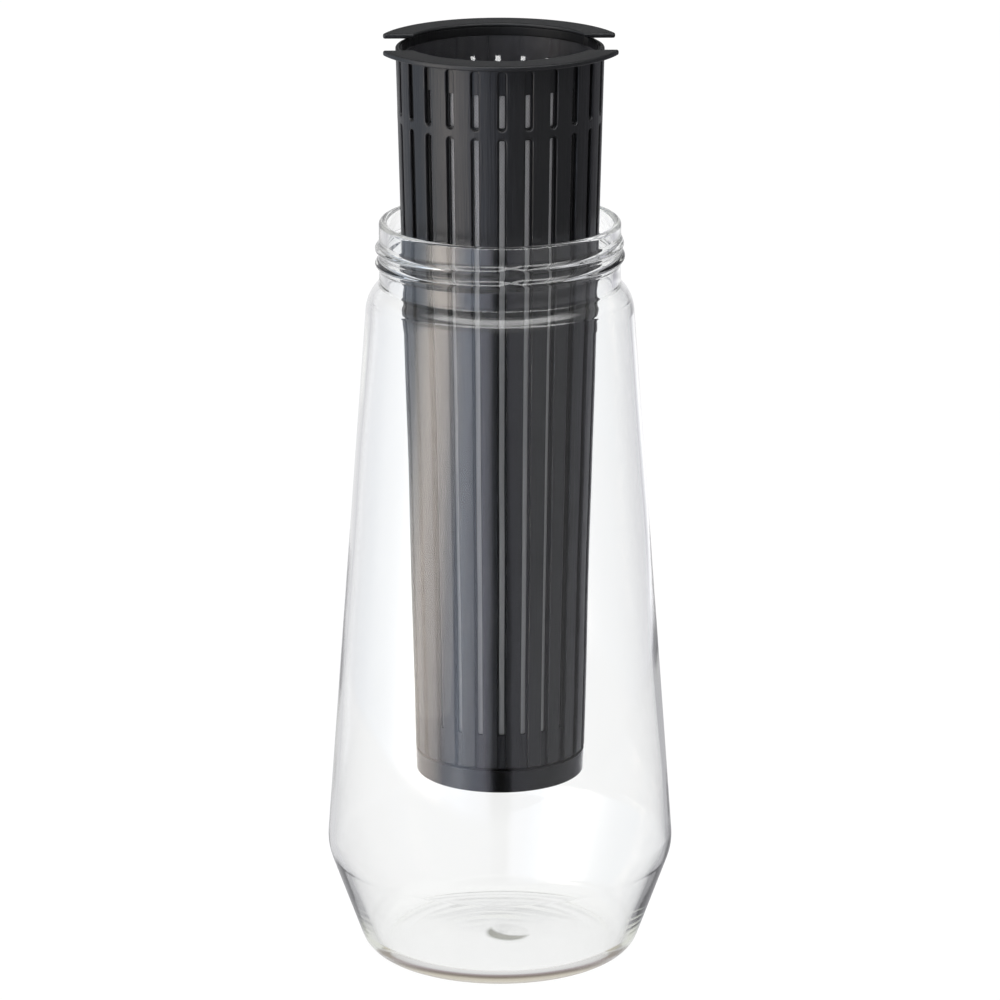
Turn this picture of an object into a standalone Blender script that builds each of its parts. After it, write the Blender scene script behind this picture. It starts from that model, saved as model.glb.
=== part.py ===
"""Cold brew carafe: a blown glass vessel with a ribbed mesh strainer raised out of its neck.

Metres, +Z up. The origin is the middle of the base, on the surface that the carafe stands on.
The strainer is modelled around the underside of its wings, which is the face that seats on the lip.
"""
import math

import bmesh
import bpy
from mathutils import Matrix, Vector

# Glass vessel
GLASS_HEIGHT = 0.2196
NECK_RADIUS = 0.0347
NECK_WALL = 0.0023
NECK_LENGTH = 0.0186
LIP_ROUND = 0.0009
SHOULDER_STEP = 0.0038
SHOULDER_DROP = 0.0050
SHOULDER_HOLLOW_ROUND = 0.0025
SHOULDER_ROUND = 0.0050
KNEE_RADIUS = 0.0510
KNEE_HEIGHT = 0.0324
KNEE_ROUND = 0.0120
FOOT_CORNER_RADIUS = 0.0390
HEEL_ROUND = 0.0070
BODY_WALL = 0.0017
FLOOR_THICKNESS = 0.0028
PUSH_UP_RADIUS = 0.0280
PUSH_UP_HEIGHT = 0.0009

# Clearances
FIT_GAP = 0.0003
NECK_TO_STRAINER_GAP = 0.0027
FLOOR_TO_STRAINER_GAP = 0.0022

# Strainer frame
WING_OVERHANG = 0.0008
WING_THICKNESS = 0.0015
WING_EDGE_ROUND = 0.0004
WING_TIP_ROUND = 0.0008
NOTCH_HALF_WIDTH = 0.0116
NOTCH_SINK = 0.0001
STRAINER_DRAFT = math.radians(1.42)
FRAME_WALL = 0.0019
COLLAR_WALL = 0.0026
COLLAR_DEPTH = 0.0020
FRAME_END_CHAMFER = 0.0007

# Grooves between the ribs, and the windows in their floors
RIB_COUNT = 24
GROOVE_WIDTH = 0.0022
GROOVE_DEPTH = 0.0011
WINDOW_WIDTH = 0.0015
UPPER_GROOVE_TOP = 0.0013
UPPER_GROOVE_LENGTH = 0.0170
RING_BAR_HEIGHT = 0.0023
UPPER_WINDOW_LENGTH = 0.0095
WINDOW_END_MARGIN = 0.0006
LOWER_WINDOW_STOP = 0.0103

# Mesh sleeve and bottom cup
MESH_THICKNESS = 0.00035
CUP_HEIGHT = 0.0067
CUP_FLOOR = 0.0016
CUP_WALL = 0.0012
CUP_SET_BACK = 0.0001
CUP_EDGE_ROUND = 0.0008
CUP_INNER_ROUND = 0.0015
SPIGOT_HEIGHT = 0.0050

# How far the strainer is shown raised above its seat
STRAINER_LIFT = 0.0500

# Finishes
GLASS_COLOR = (0.95, 0.97, 0.97)
GLASS_ROUGHNESS = 0.0
FRAME_COLOR = (0.018, 0.018, 0.020)
FRAME_ROUGHNESS = 0.42
CUP_COLOR = (0.018, 0.018, 0.020)
CUP_ROUGHNESS = 0.32
MESH_COLOR = (0.32, 0.32, 0.33)
MESH_ROUGHNESS = 0.55

# Facets
GLASS_STEPS = 64
STRAINER_STEPS = 2 * RIB_COUNT
PUSH_UP_STEPS = 3
ARC_STEP = math.radians(19.0)
SLOT_END_STEPS = 4

# Share of a line that the rounding of one of its ends may take up
ROUNDING_ROOM = 0.48
# Points closer than this are welded
WELD_DISTANCE = 0.00001
# How far the notch cutter runs past what it cuts
CUTTER_REACH = 0.010

# Worked out from the values above
TAPER = math.tan(STRAINER_DRAFT)
SEAT_HEIGHT = GLASS_HEIGHT + FIT_GAP
NECK_BORE_RADIUS = NECK_RADIUS - NECK_WALL
FRAME_TOP_RADIUS = NECK_BORE_RADIUS - NECK_TO_STRAINER_GAP
WING_RADIUS = NECK_RADIUS + WING_OVERHANG
MOUTH_RADIUS = FRAME_TOP_RADIUS - COLLAR_WALL
CUP_BOTTOM = FLOOR_THICKNESS + FLOOR_TO_STRAINER_GAP - SEAT_HEIGHT
CUP_SHOULDER = CUP_BOTTOM + CUP_HEIGHT
FRAME_BOTTOM = CUP_SHOULDER + FIT_GAP
LOWER_GROOVE_TOP = UPPER_GROOVE_TOP + UPPER_GROOVE_LENGTH + RING_BAR_HEIGHT


def clear_scene():
    """Start from an empty file."""
    for obj in list(bpy.data.objects):
        bpy.data.objects.remove(obj, do_unlink=True)


def make_collection(name):
    """A new collection under the scene's own."""
    collection = bpy.data.collections.new(name)
    bpy.context.scene.collection.children.link(collection)
    return collection


def make_material(name, color, roughness, transmission=0.0):
    """A Principled material with the piece's colour and finish."""
    material = bpy.data.materials.new(name)
    material.use_nodes = True
    shader = material.node_tree.nodes["Principled BSDF"]
    shader.inputs["Base Color"].default_value = (*color, 1.0)
    shader.inputs["Roughness"].default_value = roughness
    shader.inputs["Metallic"].default_value = 0.0
    shader.inputs["Transmission Weight"].default_value = transmission
    return material


def frame_radius(z):
    """Outer radius of the strainer frame at a height below the wings."""
    return FRAME_TOP_RADIUS + z * TAPER


def rounded_path(corners, closed=False):
    """Points of a path through corners (x, z, radius), each corner rounded by an arc."""
    count = len(corners)
    points = []
    for index, (x, z, radius) in enumerate(corners):
        here = Vector((x, z))
        is_end = not closed and index in (0, count - 1)
        if radius <= 0.0 or is_end:
            points.append(here)
            continue
        before = Vector(corners[index - 1][:2]) - here
        after = Vector(corners[(index + 1) % count][:2]) - here
        points.extend(corner_arc(here, before, after, radius))
    return points


def corner_arc(corner, before, after, radius):
    """The arc that rounds one corner, kept within the two lines that meet there."""
    room = ROUNDING_ROOM * min(before.length, after.length)
    before = before.normalized()
    after = after.normalized()
    half_angle = before.angle(after) / 2.0
    reach = min(radius / math.tan(half_angle), room)
    radius = reach * math.tan(half_angle)
    centre = corner + (before + after).normalized() * (radius / math.sin(half_angle))
    start = corner + before * reach - centre
    end = corner + after * reach - centre
    turn = start.angle(end)
    side = 1.0 if start.x * end.y - start.y * end.x > 0.0 else -1.0
    steps = max(2, math.ceil(turn / ARC_STEP))
    points = []
    for step in range(steps + 1):
        angle = side * turn * step / steps
        points.append(centre + Matrix.Rotation(angle, 2) @ start)
    return points


def offset_corners(corners, walls):
    """Corners of the line that runs inside a path, each stretch set in by its own wall."""
    lines = []
    for (x0, z0), (x1, z1), wall in zip(corners, corners[1:], walls):
        along = Vector((x1 - x0, z1 - z0)).normalized()
        inward = Vector((along.y, -along.x))
        lines.append((Vector((x0, z0)) + inward * wall, along))
    inner = []
    for (start, along), (next_start, next_along) in zip(lines, lines[1:]):
        cross = along.x * next_along.y - along.y * next_along.x
        gap = next_start - start
        reach = (gap.x * next_along.y - gap.y * next_along.x) / cross
        inner.append(start + along * reach)
    return inner


def turned(name, path, closed, steps, turn, collection, material):
    """A solid turned around Z from a profile in the XZ plane."""
    mesh = bpy.data.meshes.new(name)
    vertices = [(point.x, 0.0, point.y) for point in path]
    edges = [(index, index + 1) for index in range(len(path) - 1)]
    if closed:
        edges.append((len(path) - 1, 0))
    mesh.from_pydata(vertices, edges, [])
    obj = bpy.data.objects.new(name, mesh)
    obj.rotation_euler.z = turn
    collection.objects.link(obj)
    screw = obj.modifiers.new("turn", "SCREW")
    screw.axis = "Z"
    screw.angle = 2.0 * math.pi
    screw.steps = steps
    screw.render_steps = steps
    screw.use_merge_vertices = True
    screw.merge_threshold = WELD_DISTANCE
    screw.use_smooth_shade = True
    mesh.materials.append(material)
    return obj


def flat_outline_mesh(name, outline, thickness):
    """A mesh plate in XY, from a filled 2D curve, centred on Z."""
    curve = bpy.data.curves.new(name, "CURVE")
    curve.dimensions = "2D"
    curve.fill_mode = "BOTH"
    curve.extrude = thickness / 2.0
    spline = curve.splines.new("POLY")
    spline.points.add(len(outline) - 1)
    for point, (x, y) in zip(spline.points, outline):
        point.co = (x, y, 0.0, 1.0)
    spline.use_cyclic_u = True
    helper = bpy.data.objects.new(name, curve)
    bpy.context.scene.collection.objects.link(helper)
    graph = bpy.context.evaluated_depsgraph_get()
    mesh = bpy.data.meshes.new_from_object(helper.evaluated_get(graph))
    bpy.data.objects.remove(helper, do_unlink=True)
    bpy.data.curves.remove(curve)
    return mesh


def joined_copies(name, mesh, placements):
    """One mesh that holds a welded copy of a plate at each placement."""
    result = bmesh.new()
    for placement in placements:
        copy = bmesh.new()
        copy.from_mesh(mesh)
        bmesh.ops.remove_doubles(copy, verts=copy.verts, dist=WELD_DISTANCE)
        bmesh.ops.transform(copy, matrix=placement, verts=copy.verts)
        bmesh.ops.recalc_face_normals(copy, faces=copy.faces)
        holder = bpy.data.meshes.new(name)
        copy.to_mesh(holder)
        copy.free()
        result.from_mesh(holder)
        bpy.data.meshes.remove(holder)
    joined = bpy.data.meshes.new(name)
    result.to_mesh(joined)
    result.free()
    bpy.data.meshes.remove(mesh)
    return joined


def add_cutter(name, mesh, parent, collection):
    """A guide object that a Boolean cuts with and that is never rendered."""
    cutter = bpy.data.objects.new(name, mesh)
    cutter.parent = parent
    cutter.hide_render = True
    cutter.display_type = "WIRE"
    collection.objects.link(cutter)
    return cutter


def cut(obj, cutter):
    """Take a cutter's shape out of an object."""
    boolean = obj.modifiers.new(cutter.name, "BOOLEAN")
    boolean.operation = "DIFFERENCE"
    boolean.solver = "EXACT"
    boolean.object = cutter


def slot_outline(width, low, high):
    """A slot with round ends, its long way along X from low to high."""
    radius = width / 2.0
    outline = []
    for centre, start in ((high - radius, -math.pi / 2.0), (low + radius, math.pi / 2.0)):
        for step in range(SLOT_END_STEPS + 1):
            angle = start + math.pi * step / SLOT_END_STEPS
            outline.append((centre + radius * math.cos(angle), radius * math.sin(angle)))
    return outline


def slot_cutters(name, width, spans, floor_depth, parent, collection):
    """A cutter for every slot of the frame, square to its tapered wall.

    Each span is a slot's lowest and highest point, and floor_depth is how far the slot
    reaches into the wall.
    """
    reach_out = FRAME_WALL
    thickness = floor_depth + reach_out
    along_wall = Matrix.Translation((FRAME_TOP_RADIUS, 0.0, 0.0))
    along_wall @= Matrix.Rotation(STRAINER_DRAFT, 4, "Y")
    along_wall @= Matrix.Translation(((reach_out - floor_depth) / 2.0, 0.0, 0.0))
    stand_up = Matrix(((0, 0, 1, 0), (0, 1, 0, 0), (1, 0, 0, 0), (0, 0, 0, 1)))
    joined = bmesh.new()
    for low, high in spans:
        plate = flat_outline_mesh(name, slot_outline(width, low, high), thickness)
        places = []
        for rib in range(RIB_COUNT):
            around = Matrix.Rotation(2.0 * math.pi * rib / RIB_COUNT, 4, "Z")
            places.append(around @ along_wall @ stand_up)
        ring = joined_copies(name, plate, places)
        joined.from_mesh(ring)
        bpy.data.meshes.remove(ring)
    mesh = bpy.data.meshes.new(name)
    joined.to_mesh(mesh)
    joined.free()
    return add_cutter(name, mesh, parent, collection)


def notch_outline():
    """Plan of the gap between the two wings, on the +X side, with the wings' tips rounded."""
    inner_x = MOUTH_RADIUS - CUTTER_REACH
    outer = WING_RADIUS + CUTTER_REACH
    tip = min(WING_TIP_ROUND, NOTCH_HALF_WIDTH / 2.0)
    centre_y = NOTCH_HALF_WIDTH + tip
    centre_x = math.sqrt((WING_RADIUS - tip) ** 2 - centre_y ** 2)
    last = math.atan2(centre_y, centre_x)
    sweep = last + math.pi / 2.0
    steps = math.ceil(sweep / ARC_STEP)
    upper = [(inner_x, NOTCH_HALF_WIDTH)]
    for step in range(steps + 1):
        angle = sweep * step / steps - math.pi / 2.0
        upper.append((centre_x + tip * math.cos(angle), centre_y + tip * math.sin(angle)))
    upper.append((outer * math.cos(last), outer * math.sin(last)))
    lower = [(x, -y) for x, y in reversed(upper)]
    return lower + upper


def notch_cutter(parent, collection):
    """Both gaps between the wings, down to just under the wings."""
    height = 2.0 * WING_THICKNESS + NOTCH_SINK
    plate = flat_outline_mesh("notch_cutter", notch_outline(), height)
    lift = Matrix.Translation((0.0, 0.0, height / 2.0 - NOTCH_SINK))
    half_turn = Matrix.Rotation(math.pi, 4, "Z")
    mesh = joined_copies("notch_cutter", plate, [lift, half_turn @ lift])
    return add_cutter("notch_cutter", mesh, parent, collection)


def glass_carafe(collection):
    """The blown vessel, thicker at the neck and the floor than at its side."""
    neck_end = GLASS_HEIGHT - NECK_LENGTH
    shoulder_radius = NECK_RADIUS + SHOULDER_STEP
    shoulder_end = neck_end - SHOULDER_DROP
    outer = [
        (NECK_RADIUS, GLASS_HEIGHT),
        (NECK_RADIUS, neck_end),
        (shoulder_radius, shoulder_end),
        (KNEE_RADIUS, KNEE_HEIGHT),
        (FOOT_CORNER_RADIUS, 0.0),
        (0.0, 0.0),
    ]
    rounds = [LIP_ROUND, SHOULDER_HOLLOW_ROUND, SHOULDER_ROUND, KNEE_ROUND, HEEL_ROUND]
    walls = [NECK_WALL, (NECK_WALL + BODY_WALL) / 2.0, BODY_WALL, BODY_WALL, FLOOR_THICKNESS]
    inner = offset_corners(outer, walls)
    inner_rounds = [
        SHOULDER_HOLLOW_ROUND + NECK_WALL,
        SHOULDER_ROUND - BODY_WALL,
        KNEE_ROUND - BODY_WALL,
        HEEL_ROUND - BODY_WALL,
    ]
    corners = [(0.0, FLOOR_THICKNESS, 0.0)]
    for point, radius in zip(reversed(inner), reversed(inner_rounds)):
        corners.append((point.x, point.y, max(radius, 0.0)))
    corners.append((NECK_BORE_RADIUS, GLASS_HEIGHT, LIP_ROUND))
    for (x, z), radius in zip(outer, rounds):
        corners.append((x, z, radius))
    for step in range(PUSH_UP_STEPS + 1):
        share = 1.0 - step / PUSH_UP_STEPS
        corners.append((PUSH_UP_RADIUS * share, PUSH_UP_HEIGHT * (1.0 - share ** 2), 0.0))
    path = rounded_path(corners)
    material = make_material("glass", GLASS_COLOR, GLASS_ROUGHNESS, transmission=1.0)
    return turned("glass_carafe", path, False, GLASS_STEPS, 0.0, collection, material)


def strainer_frame(parent, collection, cutters):
    """Wings, collar and ribbed tube, moulded in one."""
    inner_top = frame_radius(-COLLAR_DEPTH) - FRAME_WALL
    inner_bottom = frame_radius(FRAME_BOTTOM) - FRAME_WALL
    chamfer_start = FRAME_BOTTOM + FRAME_END_CHAMFER
    corners = [
        (MOUTH_RADIUS, WING_THICKNESS, WING_EDGE_ROUND),
        (WING_RADIUS, WING_THICKNESS, WING_EDGE_ROUND),
        (WING_RADIUS, 0.0, WING_EDGE_ROUND),
        (frame_radius(0.0), 0.0, 0.0),
        (frame_radius(chamfer_start), chamfer_start, 0.0),
        (frame_radius(FRAME_BOTTOM) - FRAME_END_CHAMFER, FRAME_BOTTOM, 0.0),
        (inner_bottom, FRAME_BOTTOM, 0.0),
        (inner_top, -COLLAR_DEPTH, 0.0),
        (MOUTH_RADIUS, -COLLAR_DEPTH, 0.0),
    ]
    path = rounded_path(corners, closed=True)
    half_facet = math.pi / STRAINER_STEPS
    material = make_material("strainer_plastic", FRAME_COLOR, FRAME_ROUGHNESS)
    frame = turned("strainer_frame", path, True, STRAINER_STEPS, half_facet, collection, material)
    frame.parent = parent

    upper_groove = (-UPPER_GROOVE_TOP - UPPER_GROOVE_LENGTH, -UPPER_GROOVE_TOP)
    lower_groove = (FRAME_BOTTOM - GROOVE_WIDTH, -LOWER_GROOVE_TOP)
    grooves = slot_cutters(
        "groove_cutter", GROOVE_WIDTH, (upper_groove, lower_groove), GROOVE_DEPTH, parent, cutters)
    upper_low = upper_groove[0] + WINDOW_END_MARGIN
    upper_window = (upper_low, upper_low + UPPER_WINDOW_LENGTH)
    lower_window = (FRAME_BOTTOM + LOWER_WINDOW_STOP, -LOWER_GROOVE_TOP - WINDOW_END_MARGIN)
    windows = slot_cutters(
        "window_cutter", WINDOW_WIDTH, (upper_window, lower_window), 2.0 * FRAME_WALL, parent, cutters)
    cut(frame, notch_cutter(parent, cutters))
    cut(frame, grooves)
    cut(frame, windows)
    return frame


def filter_mesh(parent, collection):
    """The woven sleeve that lines the frame, from the collar to the cup."""
    top = -COLLAR_DEPTH - FIT_GAP
    set_in = FRAME_WALL + FIT_GAP
    outer_top = frame_radius(top) - set_in
    outer_bottom = frame_radius(FRAME_BOTTOM) - set_in
    corners = [
        (outer_top - MESH_THICKNESS, top, 0.0),
        (outer_top, top, 0.0),
        (outer_bottom, FRAME_BOTTOM, 0.0),
        (outer_bottom - MESH_THICKNESS, FRAME_BOTTOM, 0.0),
    ]
    path = rounded_path(corners, closed=True)
    half_facet = math.pi / STRAINER_STEPS
    material = make_material("mesh", MESH_COLOR, MESH_ROUGHNESS)
    sleeve = turned("filter_mesh", path, True, STRAINER_STEPS, half_facet, collection, material)
    sleeve.parent = parent
    return sleeve


def strainer_cup(parent, collection):
    """The closed cup that ends the strainer, with a spigot up inside the mesh sleeve."""
    band_radius = frame_radius(FRAME_BOTTOM) - CUP_SET_BACK
    sleeve_inside = frame_radius(FRAME_BOTTOM) - FRAME_WALL - FIT_GAP - MESH_THICKNESS
    spigot_radius = sleeve_inside - FIT_GAP
    spigot_top = CUP_SHOULDER + SPIGOT_HEIGHT
    bore = spigot_radius - CUP_WALL
    floor_top = CUP_BOTTOM + CUP_FLOOR
    corners = [
        (0.0, floor_top, 0.0),
        (bore, floor_top, CUP_INNER_ROUND),
        (bore, spigot_top, 0.0),
        (spigot_radius, spigot_top, 0.0),
        (spigot_radius, CUP_SHOULDER, 0.0),
        (band_radius, CUP_SHOULDER, 0.0),
        (band_radius, CUP_BOTTOM, CUP_EDGE_ROUND),
        (0.0, CUP_BOTTOM, 0.0),
    ]
    path = rounded_path(corners)
    half_facet = math.pi / STRAINER_STEPS
    material = make_material("cup_plastic", CUP_COLOR, CUP_ROUGHNESS)
    cup = turned("strainer_cup", path, False, STRAINER_STEPS, half_facet, collection, material)
    cup.parent = parent
    return cup


def main():
    """Build the carafe and its strainer."""
    clear_scene()
    parts = make_collection("cold_brew_carafe")
    cutters = make_collection("cutters")

    glass_carafe(parts)

    strainer = bpy.data.objects.new("strainer_lift", None)
    strainer.empty_display_size = WING_RADIUS
    strainer.location.z = SEAT_HEIGHT + STRAINER_LIFT
    parts.objects.link(strainer)
    strainer_frame(strainer, parts, cutters)
    filter_mesh(strainer, parts)
    strainer_cup(strainer, parts)


main()
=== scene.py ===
"""Cold brew carafe, dressed: fine meshes over the frame, their materials and a plain studio.

Metres, in the frame's own axes: +Z up, the wings of the strainer to the front (-Y) and the back.
"""

import math

import bmesh
import bpy
from mathutils import Matrix, Vector


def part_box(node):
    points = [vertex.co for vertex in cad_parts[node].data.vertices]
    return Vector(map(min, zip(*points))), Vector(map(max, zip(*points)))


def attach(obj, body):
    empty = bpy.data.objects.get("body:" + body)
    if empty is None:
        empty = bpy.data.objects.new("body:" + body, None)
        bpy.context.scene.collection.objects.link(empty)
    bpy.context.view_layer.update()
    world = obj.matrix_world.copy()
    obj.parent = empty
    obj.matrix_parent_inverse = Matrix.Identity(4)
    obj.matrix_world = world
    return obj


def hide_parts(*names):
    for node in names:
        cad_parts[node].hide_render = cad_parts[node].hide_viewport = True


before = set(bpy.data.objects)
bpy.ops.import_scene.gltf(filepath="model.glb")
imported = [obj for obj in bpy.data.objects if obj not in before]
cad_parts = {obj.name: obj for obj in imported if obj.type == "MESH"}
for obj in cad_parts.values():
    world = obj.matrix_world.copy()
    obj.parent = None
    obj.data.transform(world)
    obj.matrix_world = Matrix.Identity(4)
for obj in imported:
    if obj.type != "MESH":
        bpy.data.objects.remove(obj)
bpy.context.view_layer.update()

_, GLASS_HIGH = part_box("glass_carafe")
FRAME_LOW, FRAME_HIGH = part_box("strainer_frame")
SLEEVE_LOW, SLEEVE_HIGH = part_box("filter_mesh")
CUP_LOW, CUP_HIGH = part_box("strainer_cup")

# Glass vessel
GLASS_HEIGHT = GLASS_HIGH.z
NECK_RADIUS = 0.0347
NECK_WALL = 0.0023
NECK_LENGTH = 0.0184
LIP_ROUND = 0.00112
SHOULDER_HOLLOW_ROUND = 0.0010
SHOULDER_STEP = 0.0021
SHOULDER_STEP_ROUND = 0.0080
SHOULDER_WIDTH = 0.0038
SHOULDER_DROP = 0.0058
SHOULDER_ROUND = 0.0107
SHOULDER_WALL = 0.0021
INNER_NECK_ROUND = 0.0020
SEAM_RIDGE_HEIGHT = 0.00010
SEAM_RIDGE_HALF = 0.00032
SEAM_RIDGE_BELOW = 0.0042
KNEE_RADIUS = 0.05075
KNEE_HEIGHT = 0.0324
KNEE_ROUND = 0.0160
FOOT_CORNER_RADIUS = 0.0390
HEEL_ROUND = 0.0115
BODY_WALL = 0.0017
HEEL_WALL = 0.0026
FLOOR_THICKNESS = 0.0021
PUSH_UP_RADIUS = 0.0280
PUSH_UP_HEIGHT = 0.0009

# Screw thread of the neck: right-handed, so it sinks clockwise, from the right by way of the front
THREAD_PITCH = 0.0042
THREAD_DEPTH = 0.00115
THREAD_WIDTH = 0.0043
THREAD_BELOW_LIP = 0.0060
THREAD_INSIDE_SHARE = 0.85
THREAD_TOP_ANGLE = math.radians(20.0)
THREAD_END_ANGLE = math.radians(-575.0)
THREAD_FADE = math.radians(38.0)
THREAD_ROUNDS = 3
MOULD_SEAM_ANGLE = math.radians(-86.6)
MOULD_SEAM_HALF = math.radians(0.5)
MOULD_SEAM_FADE = math.radians(5.0)
MOULD_SEAM_LEFT = 0.60

# Unevenness of blown glass, and the mark on its floor where the drop was cut off. A wave is
# (waves once round, radians per metre of height, start in radians).
WAVE_HEIGHT = 0.00005
WIDE_WAVE = (3.0, 40.0, 0.0)
FINE_WAVE = (5.0, -95.0, 1.0)
FINE_SHARE = 0.6
RING_SHARE = 0.5
RING_RATE = 1000.0
RING_SWAY = 1.6
WIDE_SWAY = (2.0, 0.0, 0.0)
FINE_SWAY = (5.0, 0.0, 1.0)
RINGS_LOW = 0.130
RINGS_FADE = 0.060
MARK_CENTRE = Vector((0.0024, 0.0008))
MARK_RADIUS = 0.0070
MARK_HEIGHT = 0.00012
MARK_EDGE = 0.0012
MARK_LOBES = (2.0, 0.0, 0.6)
MARK_UNEVENNESS = 0.06
MARK_SLOPE_ANGLE = math.radians(45.0)
MARK_SLOPE_LENGTH = 0.0150
# The floor mark's crescent is painted shade: a darker glass colour that stands in for the shade of
# the mark's edge, with a streaky haze inside.
SCAR_SHIFT = Vector((0.0028, 0.0054))
SCAR_SOFT = 0.0014
SCAR_HAZE = 0.16
SCAR_STREAKS = 900.0
SCAR_STRETCH = (0.5, 1.0, 1.0)

# Strainer
WING_TOP = FRAME_HIGH.z
WING_RADIUS = FRAME_HIGH.y
WING_THICKNESS = 0.0015
WING_EDGE_ROUND = 0.0005
WING_TIP_ROUND = 0.0007
WING_UNDER = WING_TOP - WING_THICKNESS
WING_EDGE_STEPS = 2
NOTCH_HALF_WIDTH = 0.0116
FRAME_TOP_RADIUS = 0.0297
TAPER = math.tan(math.radians(1.42))
FRAME_BOTTOM = FRAME_LOW.z
FRAME_WALL = 0.0019
MOUTH_RADIUS = 0.0271
WING_LEDGE = 0.00005
COLLAR_DEPTH = 0.0020
RIM_RISE = 0.0003
RIM_ROUND = 0.0003
RIM_STEP = 0.00035
RIM_STEP_RADIUS = 0.0290
RIM_RIDGE = 0.0004
RIM_GROOVE_DEPTH = 0.0007
END_CHAMFER = 0.0007

# Grooves between the ribs, and the windows in their floors
RIB_COUNT = 24
GROOVE_WIDTH = 0.0022
GROOVE_DEPTH = 0.0011
GROOVE_EDGE_ROUND = 0.00045
WINDOW_WIDTH = 0.0015
WINDOW_CORNER_POWER = 0.35
GROOVE_BELOW_WING = 0.0013
UPPER_GROOVE_LENGTH = 0.0170
RING_BAR_HEIGHT = 0.0023
UPPER_WINDOW_LENGTH = 0.0095
WINDOW_END_MARGIN = 0.0006
LOWER_WINDOW_STOP = 0.0103
PLAIN_BAND_HEIGHT = 0.0006
LINING_BELOW_COLLAR = 0.0003
UPPER_GROOVE_TOP = WING_UNDER - GROOVE_BELOW_WING
UPPER_GROOVE_LOW = UPPER_GROOVE_TOP - UPPER_GROOVE_LENGTH
LOWER_GROOVE_TOP = UPPER_GROOVE_LOW - RING_BAR_HEIGHT
RING_BAR_MIDDLE = UPPER_GROOVE_LOW - RING_BAR_HEIGHT / 2.0
PLAIN_BAND_LOW = WING_UNDER - PLAIN_BAND_HEIGHT
LINING_TOP = WING_UNDER - COLLAR_DEPTH - LINING_BELOW_COLLAR

# Mesh sleeve and cup
SLEEVE_GAP = 0.00015
SLEEVE_THICKNESS = 0.00015
THREAD_SPACING = 0.00036
WEAVE_SLANT = math.radians(22.5)
CUP_SET_BACK = 0.0001
CUP_HEIGHT = 0.0067
CUP_SHOULDER = CUP_LOW.z + CUP_HEIGHT
CUP_FLOOR = 0.0016
CUP_WALL = 0.0012
CUP_EDGE_ROUND = 0.0005
CUP_INNER_ROUND = 0.0015
CUP_TOP_ROUND = 0.0003
SPIGOT_RADIUS = 0.0217

# Fineness of the meshes
GLASS_COLUMNS = 288
NECK_ROW = 0.00026
RING_ROW = 0.0009
WALL_ROW = 0.0060
FLOOR_ROW = 0.00035
FLOOR_FINE_RADIUS = 0.0146
FLOOR_WIDE_ROW = 0.0030
ARC_STEP = math.radians(5.0)
END_STEPS = 8
STRAINER_COLUMNS = RIB_COUNT * END_STEPS
UPPER_SIDE_STEPS = 6
LOWER_SIDE_STEPS = 26
FILLET_STEPS = 3
PANEL_LOOPS = 2
ROUNDING_ROOM = 0.48
STEP_SLACK = 1e-6
WELD_DISTANCE = 0.000004
SHARP_ANGLE = math.radians(40.0)

# Camera, measured against the photograph
LOOK_AT = Vector((0.0, 0.0, 0.1362))
CAMERA_DISTANCE = 1.653
CAMERA_PITCH = math.radians(16.0)
CAMERA_TURN = math.radians(-1.2)
LENS = 205.2
SENSOR = 36.0
CLIP_START = 0.05
CLIP_END = 50.0

# Studio. The walls are what gloss mirrors: (angle seen from above, colour), where 0 is the
# camera's side and negative is left. Softboxes stand to the left and a dark gap is in front.
WALLS = [
    (-180, (0.85, 0.85, 0.86)),
    (-165, (0.80, 0.80, 0.82)),
    (-140, (0.58, 0.58, 0.61)),
    (-116, (0.52, 0.60, 0.72)),
    (-95, (0.75, 0.86, 1.02)),
    (-86, (1.10, 1.20, 1.36)),
    (-79, (1.80, 1.85, 1.95)),
    (-71, (3.40, 3.22, 3.05)),
    (-63, (4.70, 4.25, 3.90)),
    (-52, (3.75, 3.42, 3.20)),
    (-46, (2.90, 2.72, 2.68)),
    (-41, (1.60, 1.62, 1.80)),
    (-36, (1.45, 1.55, 1.82)),
    (-30, (1.55, 1.72, 2.08)),
    (-22, (1.15, 1.25, 1.50)),
    (-12, (1.05, 1.05, 1.25)),
    (-8.5, (0.55, 0.55, 0.62)),
    (-6.5, (0.02, 0.02, 0.02)),
    (5, (0.02, 0.02, 0.02)),
    (7, (0.34, 0.34, 0.39)),
    (28, (0.37, 0.37, 0.39)),
    (49, (0.37, 0.37, 0.38)),
    (72, (0.30, 0.30, 0.32)),
    (96, (0.30, 0.30, 0.32)),
    (131, (0.20, 0.20, 0.23)),
    (150, (0.35, 0.35, 0.37)),
    (168, (0.80, 0.80, 0.82)),
    (180, (0.85, 0.85, 0.86)),
]
WALL_PEAK = 8.0

# Where the walls end, as sines of height angles, in front a little higher
WALL_TOP = 0.36
WALL_FADE = 0.12
FRONT_WALL_RISE = 0.08

# What gloss mirrors higher up in front: (sine of the height angle, share of WALL_PEAK), a strip lamp
CEILING = [(0.0, 0.02), (0.56, 0.02), (0.62, 0.90), (0.80, 0.90), (0.86, 0.02), (1.0, 0.02)]
BACK_CEILING = 0.16
INNER_CEILING = 0.85

# The table's glow in the glass: its strength, and how fast it sets in to the right and downwards
TABLE_BOOST = 1.4
SIDE_RISE = 3.0
TABLE_RISE = -10.0
TABLE_LEVEL = -1.5

# Light on the object, the backdrop's glare through the gaps of the mesh, and the depth of rays
SOFT_LIGHT = 0.90
LIGHT_DISTANCE = 0.50
TOP_LAMP_HEIGHT = 1.1
WATTS_PER_RADIANCE = 4.0
GLARE = 5.5
BOUNCES = 24
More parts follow.
